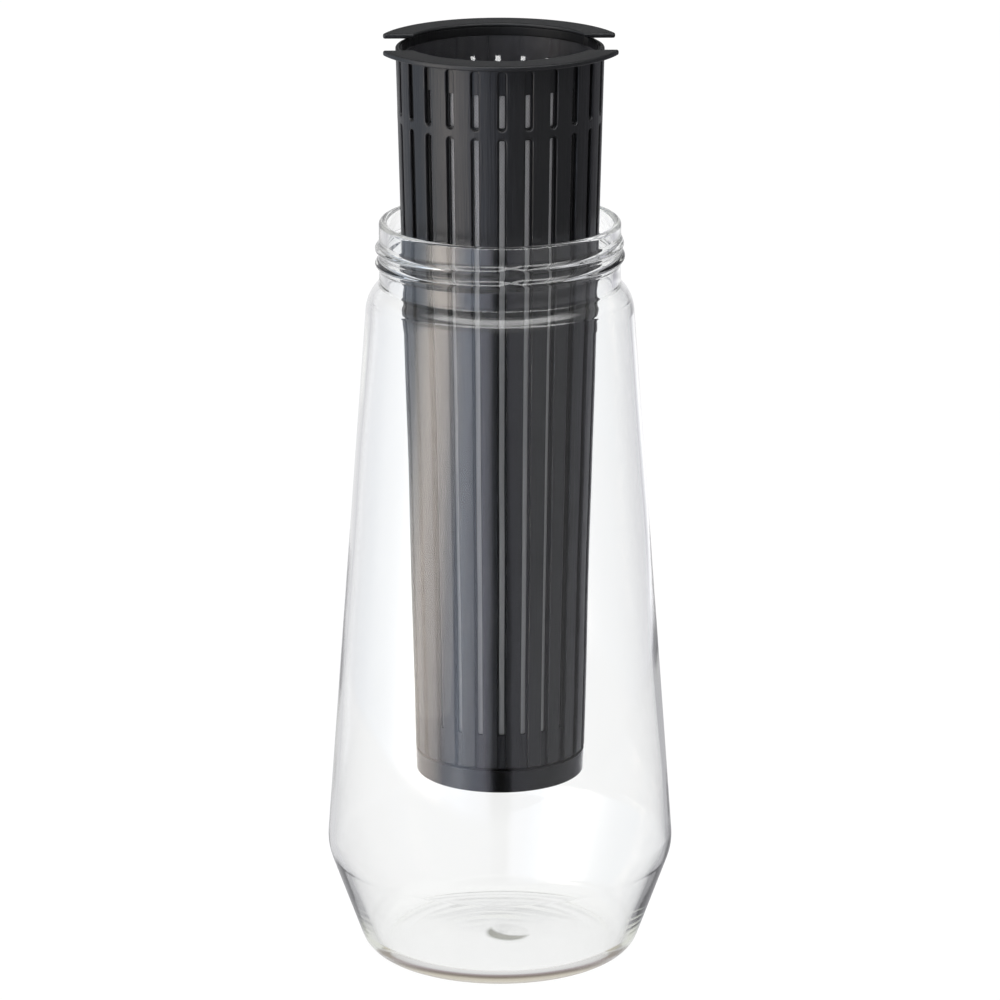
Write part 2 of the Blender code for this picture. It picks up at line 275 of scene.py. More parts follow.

# The floor: its glow where it is seen, its tones where gloss mirrors it, which are painted light,
# lighter to the left and darker to the right, and how far it is mirrored
FLOOR_SIZE = 12.0
FLOOR_DROP = 0.0003
FLOOR_GLOW = 0.935
FLOOR_LIT = (0.10, 0.10, 0.10, 1.0)
FLOOR_PLAIN = (0.55, 0.55, 0.55, 1.0)
# painted light: the floor's glow where gloss mirrors it, lighter on the left and darker on the right
FLOOR_PAINTED_LIGHT_LEFT = (0.70, 0.70, 0.72)
FLOOR_PAINTED_SHADE_RIGHT = (0.48, 0.48, 0.50)
FLOOR_SPREAD = 0.20
FLOOR_NEAR = 0.34
DEEP_FLOOR_NEAR = 0.135
FLOOR_FADE = 0.03

# The floor close under the heel, as the glass mirrors it, a glow with a painted dark ring of shade
# where the heel stands: (distance from the middle, colour)
UNDER_GLASS_GLOW_AND_SHADE = [
    (0.0305, (0.62, 0.57, 0.47)),
    (0.0330, (0.56, 0.51, 0.42)),
    (0.0343, (0.21, 0.17, 0.14)),
    (0.0349, (0.21, 0.17, 0.15)),
    (0.0356, (0.34, 0.28, 0.29)),
    (0.0364, (0.66, 0.66, 0.67)),
    (0.0380, (0.80, 0.80, 0.81)),
]
UNDER_REACH = 0.0400
UNDER_FADE = 0.006

# Materials. Noise is given by its scale, and a pair of colours is its dark and its light shade.
WHITE = (1.0, 1.0, 1.0, 1.0)
SHADES_LOW = 0.3
SHADES_HIGH = 0.7
GLASS_COLOR = (0.990, 0.992, 0.994, 1.0)
# painted shade: the dark tint of the floor mark's crescent, also of its haze
SCAR_SHADE_AND_HAZE_TINT = (0.15, 0.15, 0.12, 1.0)
GLASS_IOR = 1.47
GLASS_IN_LAMPLIGHT = (0.93, 0.94, 0.935, 1.0)
GLASS_TINT = (0.93, 0.94, 0.88, 1.0)
GLASS_TINT_DENSITY = 40.0
GLASS_WAVES = 55.0
GLASS_WAVE_STRETCH = (1.0, 1.0, 0.35)
GLASS_WAVE_STRENGTH = 0.12
GLASS_WAVE_HEIGHT = 0.001
PLASTIC_COLORS = ((0.0018, 0.0018, 0.00198), (0.0045, 0.0045, 0.00495))
PLASTIC_SHEEN = (0.96, 0.98, 1.0, 1.0)
PLASTIC_IOR = 1.46
DRAG_LINES = 1300.0
DRAG_STRETCH = (1.0, 1.0, 0.008)
DRAG_ROUGHNESS = 0.7
DRAG_GLOSS = 0.20
GRAIN = 3600.0
GRAIN_HEIGHT = 0.0001
PATCHES = 90.0
PATCH_GLOSS = 0.14
TOP_DULLNESS = 0.35
MESH_OUTSIDE = ((0.40, 0.40, 0.42), (0.53, 0.53, 0.55))
# painted shade: the inner face of the mesh, a near black shaded copy of its grey threads
MESH_INSIDE_PAINTED_SHADE = ((0.006, 0.006, 0.008), (0.018, 0.018, 0.022))
MESH_STREAKS = 500.0
MESH_STRETCH = (1.0, 1.0, 0.02)
MESH_ROUGHNESS = 0.42
MESH_RELIEF = 0.3
THREAD_HEIGHT = 0.0001
THREAD_EDGE = 8.0
MESH_COVER = -5.9
GAP_OPENNESS = 0.58

# Plastics: roughness, level of gloss, depth of the grain and depth of the drag lines
SATIN = (0.40, 0.56, 0.05, 1.30)
SMOOTH = (0.15, 0.25, 0.03, 0.10)


def smooth_step(value):
    """0 below 0, 1 above 1 and a soft rise between."""
    value = min(max(value, 0.0), 1.0)
    return value * value * (3.0 - 2.0 * value)


def rounded(corners, closed=False):
    """Points of a path through corners (r, z, radius), each corner rounded by an arc."""
    count = len(corners)
    points = []
    for index, (r, z, radius) in enumerate(corners):
        here = Vector((r, z))
        is_end = not closed and index in (0, count - 1)
        if radius <= 0.0 or is_end:
            points.append(here)
            continue
        before = Vector(corners[index - 1][:2]) - here
        after = Vector(corners[(index + 1) % count][:2]) - here
        points.extend(corner_arc(here, before, after, radius))
    return points


def corner_arc(corner, before, after, radius):
    """The arc that rounds one corner, kept within the two lines that meet there."""
    room = ROUNDING_ROOM * min(before.length, after.length)
    before = before.normalized()
    after = after.normalized()
    half_angle = before.angle(after) / 2.0
    reach = min(radius / math.tan(half_angle), room)
    radius = reach * math.tan(half_angle)
    centre = corner + (before + after).normalized() * (radius / math.sin(half_angle))
    start = corner + before * reach - centre
    end = corner + after * reach - centre
    turn = start.angle(end)
    side = 1.0 if start.x * end.y - start.y * end.x > 0.0 else -1.0
    steps = max(2, math.ceil(turn / ARC_STEP))
    turns = [side * turn * step / steps for step in range(steps + 1)]
    return [centre + Matrix.Rotation(turn, 2) @ start for turn in turns]


def divided(path, longest):
    """The path with points added, so that no stretch is longer than longest(its middle)."""
    points = [path[0]]
    for start, end in zip(path, path[1:]):
        steps = max(1, math.ceil((end - start).length / longest((start + end) / 2.0) - STEP_SLACK))
        for step in range(1, steps + 1):
            points.append(start.lerp(end, step / steps))
    return points


def offset_corners(corners, walls):
    """Corners of the line that runs inside a path, each stretch set in by its own wall."""
    lines = []
    for (x0, z0), (x1, z1), wall in zip(corners, corners[1:], walls):
        along = Vector((x1 - x0, z1 - z0)).normalized()
        inward = Vector((along.y, -along.x))
        lines.append((Vector((x0, z0)) + inward * wall, along))
    inner = []
    for (start, along), (next_start, next_along) in zip(lines, lines[1:]):
        cross = along.x * next_along.y - along.y * next_along.x
        gap = next_start - start
        reach = (gap.x * next_along.y - gap.y * next_along.x) / cross
        inner.append(start + along * reach)
    return inner


class Shell:
    """Vertices and faces that are gathered first and welded into one mesh at the end."""

    def __init__(self):
        self.vertices = []
        self.faces = []

    def add_point(self, angle, radius, z):
        """One vertex, given by its angle about Z, its distance from Z and its height."""
        self.vertices.append((radius * math.cos(angle), radius * math.sin(angle), z))
        return len(self.vertices) - 1

    def add_face(self, corners):
        """One face, less the corners that fall together at a pole."""
        self.faces.append(tuple(dict.fromkeys(corners)))

    def add_turned(self, path, columns, start_angle=0.0, closed=False, shape=None):
        """A path of (r, z) turned about Z. shape(row, r, z, angle) gives a point's own (r, z)."""
        rows = []
        for index, point in enumerate(path):
            if point.x < WELD_DISTANCE:
                rows.append([self.add_point(0.0, 0.0, point.y)] * columns)
                continue
            row = []
            for column in range(columns):
                angle = start_angle + 2.0 * math.pi * column / columns
                r, z = shape(index, point.x, point.y, angle) if shape else (point.x, point.y)
                row.append(self.add_point(angle, r, z))
            rows.append(row)
        if closed:
            rows.append(rows[0])
        for above, below in zip(rows, rows[1:]):
            for column in range(columns):
                after = (column + 1) % columns
                self.add_face((above[column], below[column], below[after], above[after]))

    def make_object(self, name):
        """The object, with its vertices welded where they meet."""
        mesh = bpy.data.meshes.new(name)
        mesh.from_pydata(self.vertices, [], self.faces)
        weld(mesh)
        obj = bpy.data.objects.new(name, mesh)
        bpy.context.scene.collection.objects.link(obj)
        return obj


def weld(mesh):
    """Join vertices that lie on each other and point every face outwards."""
    body = bmesh.new()
    body.from_mesh(mesh)
    bmesh.ops.remove_doubles(body, verts=body.verts, dist=WELD_DISTANCE)
    bmesh.ops.recalc_face_normals(body, faces=body.faces)
    body.to_mesh(mesh)
    body.free()


def shade(obj, material):
    """Smooth shading with crisp edges where the surface turns sharply, and the material."""
    mesh = obj.data
    mesh.shade_smooth()
    mesh.set_sharp_from_angle(angle=SHARP_ANGLE)
    normals = obj.modifiers.new("normals", "WEIGHTED_NORMAL")
    normals.keep_sharp = True
    mesh.materials.clear()
    mesh.materials.append(material)


def dress(obj, body, node):
    """Let a piece ride on its body and stand for its CAD node."""
    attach(obj, body)
    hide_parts(node)


def thread_bump(z, angle):
    """How far the screw thread stands out of the neck at a height and an angle."""
    bump = 0.0
    for turn in range(THREAD_ROUNDS):
        along = angle - 2.0 * math.pi * turn
        if not THREAD_END_ANGLE < along < THREAD_TOP_ANGLE:
            continue
        crest = GLASS_HEIGHT - THREAD_BELOW_LIP + THREAD_PITCH * along / (2.0 * math.pi)
        off = abs(z - crest) / THREAD_WIDTH
        if off >= 0.5:
            continue
        fade = smooth_step((THREAD_TOP_ANGLE - along) / THREAD_FADE)
        fade *= smooth_step((along - THREAD_END_ANGLE) / THREAD_FADE)
        bump = max(bump, THREAD_DEPTH * fade * math.cos(math.pi * off) ** 2)
    off_seam = abs(math.remainder(angle - MOULD_SEAM_ANGLE, math.pi))
    whole = smooth_step((off_seam - MOULD_SEAM_HALF) / MOULD_SEAM_FADE)
    return bump * (MOULD_SEAM_LEFT + (1.0 - MOULD_SEAM_LEFT) * whole)


def seam_ridge(z):
    """The fine ridge that the mould's joint leaves round the shoulder."""
    off = abs(z - (GLASS_HEIGHT - NECK_LENGTH - SEAM_RIDGE_BELOW)) / SEAM_RIDGE_HALF
    return SEAM_RIDGE_HEIGHT * smooth_step(1.0 - off)


def wave(kind, angle, z=0.0):
    """Height of a wave at an angle and a height."""
    around, rise, start = kind
    return math.sin(around * angle + rise * z + start)


def glass_wave(z, angle):
    """The slight unevenness of the inside of a blown wall, with finer rings below the neck."""
    smooth = wave(WIDE_WAVE, angle, z) + FINE_SHARE * wave(FINE_WAVE, angle, z)
    sway = wave(FINE_SWAY, angle)
    rings = math.sin(RING_RATE * z + RING_SWAY * wave(WIDE_SWAY, angle) + sway)
    fade = smooth_step((z - RINGS_LOW) / RINGS_FADE)
    return WAVE_HEIGHT * (smooth + RING_SHARE * fade * rings)


def floor_mark(r, angle):
    """Height of the cut-off mark on the floor: a low step in front, sloping down to the back."""
    off = Vector((r * math.cos(angle), r * math.sin(angle))) - MARK_CENTRE
    around = math.atan2(off.y, off.x)
    edge = MARK_RADIUS * (1.0 + MARK_UNEVENNESS * wave(MARK_LOBES, around))
    along = off.length * math.cos(around - MARK_SLOPE_ANGLE) + MARK_RADIUS
    left = max(0.0, 1.0 - along / MARK_SLOPE_LENGTH)
    return MARK_HEIGHT * left * smooth_step((edge - off.length) / MARK_EDGE + 0.5)


def glass_paths():
    """The inner path, from the floor's middle up to the lip, and the outer path, from there down."""
    neck_end = GLASS_HEIGHT - NECK_LENGTH
    outer = [
        (NECK_RADIUS, GLASS_HEIGHT),
        (NECK_RADIUS, neck_end),
        (NECK_RADIUS + SHOULDER_STEP, neck_end - SHOULDER_STEP),
        (NECK_RADIUS + SHOULDER_WIDTH, neck_end - SHOULDER_DROP),
        (KNEE_RADIUS, KNEE_HEIGHT),
        (FOOT_CORNER_RADIUS, 0.0),
        (0.0, 0.0),
    ]
    rounds = [
        LIP_ROUND,
        SHOULDER_HOLLOW_ROUND,
        SHOULDER_STEP_ROUND,
        SHOULDER_ROUND,
        KNEE_ROUND,
        HEEL_ROUND,
    ]
    lower_shoulder_wall = (SHOULDER_WALL + BODY_WALL) / 2.0
    walls = [NECK_WALL, SHOULDER_WALL, lower_shoulder_wall, BODY_WALL, BODY_WALL, FLOOR_THICKNESS]
    inner = offset_corners(outer, walls)
    inner[-1].x -= HEEL_WALL - BODY_WALL
    inner_rounds = [
        INNER_NECK_ROUND,
        SHOULDER_STEP_ROUND - SHOULDER_WALL,
        SHOULDER_ROUND - lower_shoulder_wall,
        KNEE_ROUND - BODY_WALL,
        HEEL_ROUND - HEEL_WALL,
    ]
    corners = [(0.0, FLOOR_THICKNESS, 0.0)]
    for point, radius in zip(reversed(inner), reversed(inner_rounds)):
        corners.append((point.x, point.y, radius))
    corners.append((NECK_RADIUS - NECK_WALL, GLASS_HEIGHT, LIP_ROUND))
    lip = len(corners)
    for (x, z), radius in zip(outer, rounds):
        corners.append((x, z, radius))
    corners.append((PUSH_UP_RADIUS, 0.0, PUSH_UP_RADIUS))
    corners.append((0.0, PUSH_UP_HEIGHT, 0.0))
    inner_path = rounded(corners[:lip] + [corners[lip]])[:-1]
    outer_path = rounded([corners[lip - 1]] + corners[lip:])[1:]
    return inner_path, outer_path


def row_length(middle):
    """How long a stretch of the glass's profile may be, by where it lies."""
    if middle.y > GLASS_HEIGHT - NECK_LENGTH - SHOULDER_DROP:
        return NECK_ROW
    if middle.y > RINGS_LOW:
        return RING_ROW
    if middle.x < FLOOR_FINE_RADIUS:
        return FLOOR_ROW
    if middle.y < FLOOR_THICKNESS:
        return FLOOR_WIDE_ROW
    return WALL_ROW


def glass_carafe(material):
    """The vessel: even outside but for its thread, slightly wavy inside, with its floor mark."""
    inner, outer = glass_paths()
    path = divided(inner, row_length)
    inner_rows = len(path)
    path += divided(outer, row_length)

    def shape(row, r, z, angle):
        if row >= inner_rows:
            return r + thread_bump(z, angle) + seam_ridge(z), z
        if r < FLOOR_FINE_RADIUS:
            return r, z + floor_mark(r, angle)
        rise = smooth_step((GLASS_HEIGHT - z) / NECK_LENGTH) * smooth_step(r / NECK_RADIUS)
        hollow = THREAD_INSIDE_SHARE * thread_bump(z, angle)
        return r + rise * glass_wave(z, angle) + hollow, z

    shell = Shell()
    shell.add_turned(path, GLASS_COLUMNS, shape=shape)
    obj = shell.make_object("glass_vessel")
    shade(obj, material)
    dress(obj, "carafe", "glass_carafe")


def frame_radius(z):
    """Outer radius of the strainer's tube at a height."""
    return FRAME_TOP_RADIUS + (z - WING_UNDER) * TAPER


def rib_radius(z):
    """Outer radius of the ribs, which slant inwards just above the cup."""
    return frame_radius(z) - max(0.0, FRAME_BOTTOM + END_CHAMFER - z)


def side_heights(top, bottom, steps, open_end):
    """Heights down one side. With an open end, the last is where the ribs begin to slant."""
    if not open_end:
        return [top + (bottom - top) * step / steps for step in range(steps)]
    slant = FRAME_BOTTOM + END_CHAMFER
    return [top + (slant - top) * step / (steps - 1) for step in range(steps)]


def across_low(half_width, low):
    """Points straight across at the lowest height, from the left."""
    return [(half_width * (2.0 * step / END_STEPS - 1.0), low) for step in range(END_STEPS)]


def slot_points(half_width, low, high, power, side_steps, open_end=False):
    """(across, height) round a slot: over its top from the right, down, under and up again.

    A power of 1 makes round ends, and less makes squarer ones.
    """
    top = high - half_width
    bottom = low if open_end else low + half_width
    sides = side_heights(top, bottom, side_steps, open_end)
    end = []
    for step in range(END_STEPS):
        angle = math.pi * step / END_STEPS
        across = half_width * math.copysign(abs(math.cos(angle)) ** power, math.cos(angle))
        end.append((across, half_width * math.sin(angle) ** power))
    points = [(across, top + rise) for across, rise in end]
    points += [(-half_width, z) for z in sides]
    if open_end:
        points += across_low(half_width, low)
    else:
        points += [(-across, bottom - rise) for across, rise in end]
    points += [(half_width, z) for z in [bottom] + sides[:0:-1]]
    return points


def panel_points(low, high, side_steps, radius_at, open_end=False):
    """(angle, radius, height) round a rib pitch, with as many points as the slot in it."""
    half = math.pi / RIB_COUNT
    sides = side_heights(high, low, side_steps, open_end)
    points = [(half * (1.0 - 2.0 * step / END_STEPS), high) for step in range(END_STEPS)]
    points += [(-half, z) for z in sides]
    points += across_low(half, low)
    points += [(half, z) for z in [low] + sides[:0:-1]]
    return [(angle, radius_at(z), z) for angle, z in points]


def on_tube(points, radius_at):
    """Slot points bent round the tube: (angle, radius, height)."""
    return [(across / radius_at(z), radius_at(z), z) for across, z in points]


def on_floor(points, radius_at, depth):
    """Slot points on a flat floor at a depth: (angle, radius, height)."""
    placed = []
    for across, z in points:
        out = radius_at(z) - depth
        placed.append((math.atan2(across, out), math.hypot(across, out), z))
    return placed


def between(first, second, share):
    """The loop that lies a share of the way from one loop to another."""
    return [
        tuple(a + (b - a) * share for a, b in zip(start, end))
        for start, end in zip(first, second)
    ]


def slot_loops(groove, window, patch, lining_top, side_steps, open_end):
    """Loops of one rib pitch, from its edge outside, through the window, to its edge inside.

    groove, window and patch are (low, high). Returns the loops and the number of the one that
    borders the groove's floor.
    """
    half = GROOVE_WIDTH / 2.0
    loops = [panel_points(*patch, side_steps, rib_radius, open_end)]
    fillet = []
    for step in range(FILLET_STEPS + 1):
        turn = math.pi / 2.0 * step / FILLET_STEPS
        spread = GROOVE_EDGE_ROUND * (1.0 - math.sin(turn))
        depth = GROOVE_EDGE_ROUND * (1.0 - math.cos(turn))
        low = groove[0] if open_end else groove[0] - spread
        points = slot_points(half + spread, low, groove[1] + spread, 1.0, side_steps, open_end)
        if step == 0:
            fillet.append(on_tube(points, rib_radius))
        else:
            fillet.append(on_floor(points, rib_radius, depth))
    for step in range(1, PANEL_LOOPS + 1):
        loops.append(between(loops[0], fillet[0], step / (PANEL_LOOPS + 1)))
    loops += fillet
    floor = slot_points(half, *groove, 1.0, side_steps, open_end)
    loops.append(on_floor(floor, frame_radius, GROOVE_DEPTH))
    floor_loop = len(loops) - 1
    hole = slot_points(WINDOW_WIDTH / 2.0, *window, WINDOW_CORNER_POWER, side_steps)
    loops.append(on_floor(hole, frame_radius, GROOVE_DEPTH))
    loops.append(on_floor(hole, frame_radius, FRAME_WALL))
    lining = panel_points(
        patch[0], lining_top, side_steps, lambda z: frame_radius(z) - FRAME_WALL, open_end)
    loops.append(lining)
    return loops, floor_loop


def add_slots(shell, groove, window, patch, lining_top, side_steps, open_end=False):
    """One ring of slots, with the tube's wall around them."""
    loops, floor_loop = slot_loops(groove, window, patch, lining_top, side_steps, open_end)
    count = len(loops[0])
    first_low = END_STEPS + side_steps
    last_low = first_low + END_STEPS
    for rib in range(RIB_COUNT):
        turn = 2.0 * math.pi * rib / RIB_COUNT
        rings = [[shell.add_point(turn + a, r, z) for a, r, z in loop] for loop in loops]
        for number, (outer, inner) in enumerate(zip(rings, rings[1:])):
            for index in range(count):
                if open_end and number < floor_loop and first_low <= index < last_low:
                    continue
                after = (index + 1) % count
                shell.add_face((outer[index], outer[after], inner[after], inner[index]))
        if open_end:
            left = [ring[first_low] for ring in rings[:floor_loop]]
            floor = rings[floor_loop][first_low:last_low + 1]
            right = [ring[last_low] for ring in reversed(rings[:floor_loop])]
            lining = rings[-1][first_low:last_low + 1]
            shell.add_face(lining + right[::-1] + floor[::-1] + left[::-1])


def wing_outline(side):
    """Plan of one wing, from the mouth out to its rounded tips."""
    tip = WING_TIP_ROUND
    inner = MOUTH_RADIUS - WING_LEDGE
    centre_y = NOTCH_HALF_WIDTH + tip
    centre_x = math.sqrt((WING_RADIUS - tip) ** 2 - centre_y ** 2)
    edge_angle = math.atan2(centre_y, centre_x)
    sweep = edge_angle + math.pi / 2.0
    tip_steps = math.ceil(sweep / ARC_STEP)
    half = []
    for step in range(tip_steps + 1):
        angle = sweep * step / tip_steps - math.pi / 2.0
        half.append((centre_x + tip * math.cos(angle), centre_y + tip * math.sin(angle)))
    arc_steps = STRAINER_COLUMNS // 4
    for step in range(1, arc_steps):
        angle = edge_angle + (math.pi / 2.0 - edge_angle) * step / arc_steps
        half.append((WING_RADIUS * math.cos(angle), WING_RADIUS * math.sin(angle)))
    outer = half + [(0.0, WING_RADIUS)] + [(-x, y) for x, y in reversed(half)]
    start = math.asin(NOTCH_HALF_WIDTH / inner)
    inner_arc = []
    for step in range(2 * arc_steps + 1):
        angle = math.pi - start - (math.pi - 2.0 * start) * step / (2 * arc_steps)
        inner_arc.append((inner * math.cos(angle), inner * math.sin(angle)))
    return [(side * x, side * y) for x, y in outer + inner_arc]


def wing_plate(side):
    """One wing as a closed plate with rounded edges, made from a filled curve."""
    curve = bpy.data.curves.new("wing", "CURVE")
    curve.dimensions = "2D"
    curve.fill_mode = "BOTH"
    curve.extrude = WING_THICKNESS / 2.0 - WING_EDGE_ROUND
    curve.bevel_depth = WING_EDGE_ROUND
    curve.bevel_resolution = WING_EDGE_STEPS
    curve.offset = -WING_EDGE_ROUND
    outline = wing_outline(side)
    spline = curve.splines.new("POLY")
    spline.points.add(len(outline) - 1)
    for point, (x, y) in zip(spline.points, outline):
        point.co = (x, y, 0.0, 1.0)
    spline.use_cyclic_u = True
    helper = bpy.data.objects.new("wing", curve)
    bpy.context.scene.collection.objects.link(helper)
    graph = bpy.context.evaluated_depsgraph_get()
    mesh = bpy.data.meshes.new_from_object(helper.evaluated_get(graph))
    bpy.data.objects.remove(helper, do_unlink=True)
    bpy.data.curves.remove(curve)
    mesh.transform(Matrix.Translation((0.0, 0.0, WING_UNDER + WING_THICKNESS / 2.0)))
    weld(mesh)
    plate = bpy.data.objects.new("wing", mesh)
    bpy.context.scene.collection.objects.link(plate)
    return plate


def joined(obj, others):
    """Make one body of an object and the bodies that overlap it."""
    for other in others:
        union = obj.modifiers.new("join", "BOOLEAN")
        union.operation = "UNION"
        union.solver = "EXACT"
        union.object = other
    graph = bpy.context.evaluated_depsgraph_get()
    mesh = bpy.data.meshes.new_from_object(obj.evaluated_get(graph))
    obj.modifiers.clear()
    obj.data = mesh
    for other in others:
        bpy.data.objects.remove(other, do_unlink=True)


def strainer_frame(material):
    """Wings, collar and ribbed tube, moulded in one."""
    shell = Shell()
    upper_window_low = UPPER_GROOVE_LOW + WINDOW_END_MARGIN
    add_slots(
        shell,
        groove=(UPPER_GROOVE_LOW, UPPER_GROOVE_TOP),
        window=(upper_window_low, upper_window_low + UPPER_WINDOW_LENGTH),
        patch=(RING_BAR_MIDDLE, PLAIN_BAND_LOW),
        lining_top=LINING_TOP,
        side_steps=UPPER_SIDE_STEPS,
    )
    add_slots(
        shell,
        groove=(FRAME_BOTTOM, LOWER_GROOVE_TOP),
        window=(FRAME_BOTTOM + LOWER_WINDOW_STOP, LOWER_GROOVE_TOP - WINDOW_END_MARGIN),
        patch=(FRAME_BOTTOM, RING_BAR_MIDDLE),
        lining_top=RING_BAR_MIDDLE,
        side_steps=LOWER_SIDE_STEPS,
        open_end=True,
    )
    rim_top = WING_UNDER + RIM_RISE
    lining = frame_radius(LINING_TOP) - FRAME_WALL
    path = rounded([
        (lining, LINING_TOP, 0.0),
        (lining, WING_UNDER - COLLAR_DEPTH, 0.0),
        (MOUTH_RADIUS, WING_UNDER - COLLAR_DEPTH, RIM_ROUND / 2.0),
        (MOUTH_RADIUS, rim_top, RIM_ROUND / 2.0),
        (MOUTH_RADIUS + RIM_RIDGE, rim_top, RIM_ROUND / 2.0),
        (MOUTH_RADIUS + RIM_RIDGE, rim_top - RIM_GROOVE_DEPTH, 0.0),
        (RIM_STEP_RADIUS - RIM_RIDGE, rim_top - RIM_GROOVE_DEPTH, 0.0),
        (RIM_STEP_RADIUS - RIM_RIDGE, rim_top, RIM_ROUND / 2.0),
        (RIM_STEP_RADIUS, rim_top, RIM_ROUND / 2.0),
        (RIM_STEP_RADIUS, rim_top - RIM_STEP, RIM_ROUND / 2.0),
        (frame_radius(rim_top), rim_top - RIM_STEP, RIM_ROUND),
        (frame_radius(PLAIN_BAND_LOW), PLAIN_BAND_LOW, 0.0),
    ])

    def shape(row, r, z, angle):
        if r >= lining:
            return r, z
        off_wing = NOTCH_HALF_WIDTH - abs(r * math.sin(angle))
        return r + (lining - r) * smooth_step(off_wing / RIM_ROUND), z

    shell.add_turned(path, STRAINER_COLUMNS, start_angle=math.pi / RIB_COUNT, shape=shape)
    obj = shell.make_object("ribbed_frame")
    joined(obj, [wing_plate(1.0), wing_plate(-1.0)])
    shade(obj, material)
    dress(obj, "strainer", "strainer_frame")


def filter_mesh(material):
    """The woven sleeve that lines the tube."""
    top = SLEEVE_HIGH.z
    bottom = SLEEVE_LOW.z
    set_in = FRAME_WALL + SLEEVE_GAP
    outer_top = frame_radius(top) - set_in
    outer_bottom = frame_radius(bottom) - set_in
    path = [
        Vector((outer_bottom - SLEEVE_THICKNESS, bottom)),
        Vector((outer_top - SLEEVE_THICKNESS, top)),
        Vector((outer_top, top)),
        Vector((outer_bottom, bottom)),
    ]
    path = divided(path + path[:1], lambda middle: WALL_ROW)[:-1]
    shell = Shell()
    shell.add_turned(path, STRAINER_COLUMNS, start_angle=math.pi / RIB_COUNT, closed=True)
    obj = shell.make_object("mesh_sleeve")
    shade(obj, material)
    dress(obj, "strainer", "filter_mesh")


def strainer_cup(material):
    """The smooth closed cup below the ribs, with its spigot up inside the sleeve."""
    bottom = CUP_LOW.z
    band = frame_radius(FRAME_BOTTOM) - CUP_SET_BACK
    foot = frame_radius(bottom) - CUP_SET_BACK
    bore = SPIGOT_RADIUS - CUP_WALL
    path = rounded([
        (0.0, bottom + CUP_FLOOR, 0.0),
        (bore, bottom + CUP_FLOOR, CUP_INNER_ROUND),
        (bore, CUP_HIGH.z, CUP_TOP_ROUND),
        (SPIGOT_RADIUS, CUP_HIGH.z, CUP_TOP_ROUND),
        (SPIGOT_RADIUS, CUP_SHOULDER, 0.0),
        (band, CUP_SHOULDER, CUP_TOP_ROUND),
        (foot, bottom, CUP_EDGE_ROUND),
        (0.0, bottom, 0.0),
    ])
    shell = Shell()
    shell.add_turned(path, STRAINER_COLUMNS, start_angle=math.pi / RIB_COUNT)
    obj = shell.make_object("end_cup")
    shade(obj, material)
    dress(obj, "strainer", "strainer_cup")


class Nodes:
    """A short way to add and link the nodes of one material or world."""

    def __init__(self, owner):
        owner.use_nodes = True
        self.tree = owner.node_tree
        self.tree.nodes.clear()

    def add(self, kind, *, settings=None, **inputs):
        """A node with its settings, and its inputs given as values or as other nodes' sockets."""
        node = self.tree.nodes.new(kind)
        for name, value in (settings or {}).items():
            setattr(node, name, value)
        for name, value in inputs.items():
            socket = self.find(node.inputs, name)
            if isinstance(value, bpy.types.NodeSocket):
                self.tree.links.new(value, socket)
            else:
                socket.default_value = value
        return node

    @staticmethod
    def find(sockets, name):
        """A socket by its name, with _ for a blank, or by its number, as in_1."""
        if name.startswith("in_"):
            return sockets[int(name[3:])]
        return sockets[name.replace("_", " ")]

    def place(self, kind="Object"):
        """Where a point lies, in the object's own coordinates unless another kind is named."""
        return self.add("ShaderNodeTexCoord").outputs[kind]

    def parts(self, vector):
        """The X, Y and Z of a vector."""
        return self.add("ShaderNodeSeparateXYZ", Vector=vector).outputs

    def flat(self, parts):
        """The vector with the Z left out."""
        return self.add("ShaderNodeCombineXYZ", X=parts["X"], Y=parts["Y"]).outputs[0]

    def distance(self, first, second=(0.0, 0.0, 0.0)):
        """How far two points lie from each other."""
        settings = {"operation": "DISTANCE"}
        node = self.add("ShaderNodeVectorMath", settings=settings, in_0=first, in_1=second)
        return node.outputs["Value"]

    def math(self, operation, first, second=0.0, third=0.0, clamp=False):
        """The result of one calculation."""
        settings = {"operation": operation, "use_clamp": clamp}
        node = self.add("ShaderNodeMath", settings=settings, in_0=first, in_1=second, in_2=third)
        return node.outputs[0]

    def mix(self, factor, first, second):
        """A mix of two shaders."""
        return self.add("ShaderNodeMixShader", in_0=factor, in_1=first, in_2=second).outputs[0]

    def ramp(self, value, stops):
        """A colour that runs through stops of (place, colour)."""
        node = self.add("ShaderNodeValToRGB", Fac=value)
        elements = node.color_ramp.elements
        while len(elements) < len(stops):
            elements.new(0.5)
        for element, (place, color) in zip(elements, stops):
            element.position = place
            element.color = (*color, 1.0)
        return node.outputs["Color"]

    def shades(self, value, dark, light):
        """A colour between two shades."""
        return self.ramp(value, [(SHADES_LOW, dark), (SHADES_HIGH, light)])

    def color_mix(self, factor, first, second):
        """A mix of two colours."""
        settings = {"data_type": "RGBA"}
        node = self.add("ShaderNodeMix", settings=settings, in_0=factor, in_6=first, in_7=second)
        return node.outputs[2]

    def glow(self, kind, strength, color=WHITE):
        """A shader that gives light: Emission on a surface, Background in the world."""
        return self.add("ShaderNode" + kind, Color=color, Strength=strength).outputs[0]

    def bump(self, height, strength, distance):
        """A normal that follows a height."""
        node = self.add("ShaderNodeBump", Height=height, Strength=strength, Distance=distance)
        return node.outputs["Normal"]

    def noise(self, scale, stretch=(1.0, 1.0, 1.0), detail=2.0, roughness=0.5):
        """Noise over the object's own coordinates, from 0 to 1."""
        moved = self.add("ShaderNodeMapping", Vector=self.place(), Scale=stretch).outputs[0]
        node = self.add(
            "ShaderNodeTexNoise", Vector=moved, Scale=scale, Detail=detail, Roughness=roughness)
        return node.outputs["Fac"]

    def finish(self, surface, kind="ShaderNodeOutputMaterial"):
        """Link the surface to the output."""
        self.add(kind, Surface=surface)


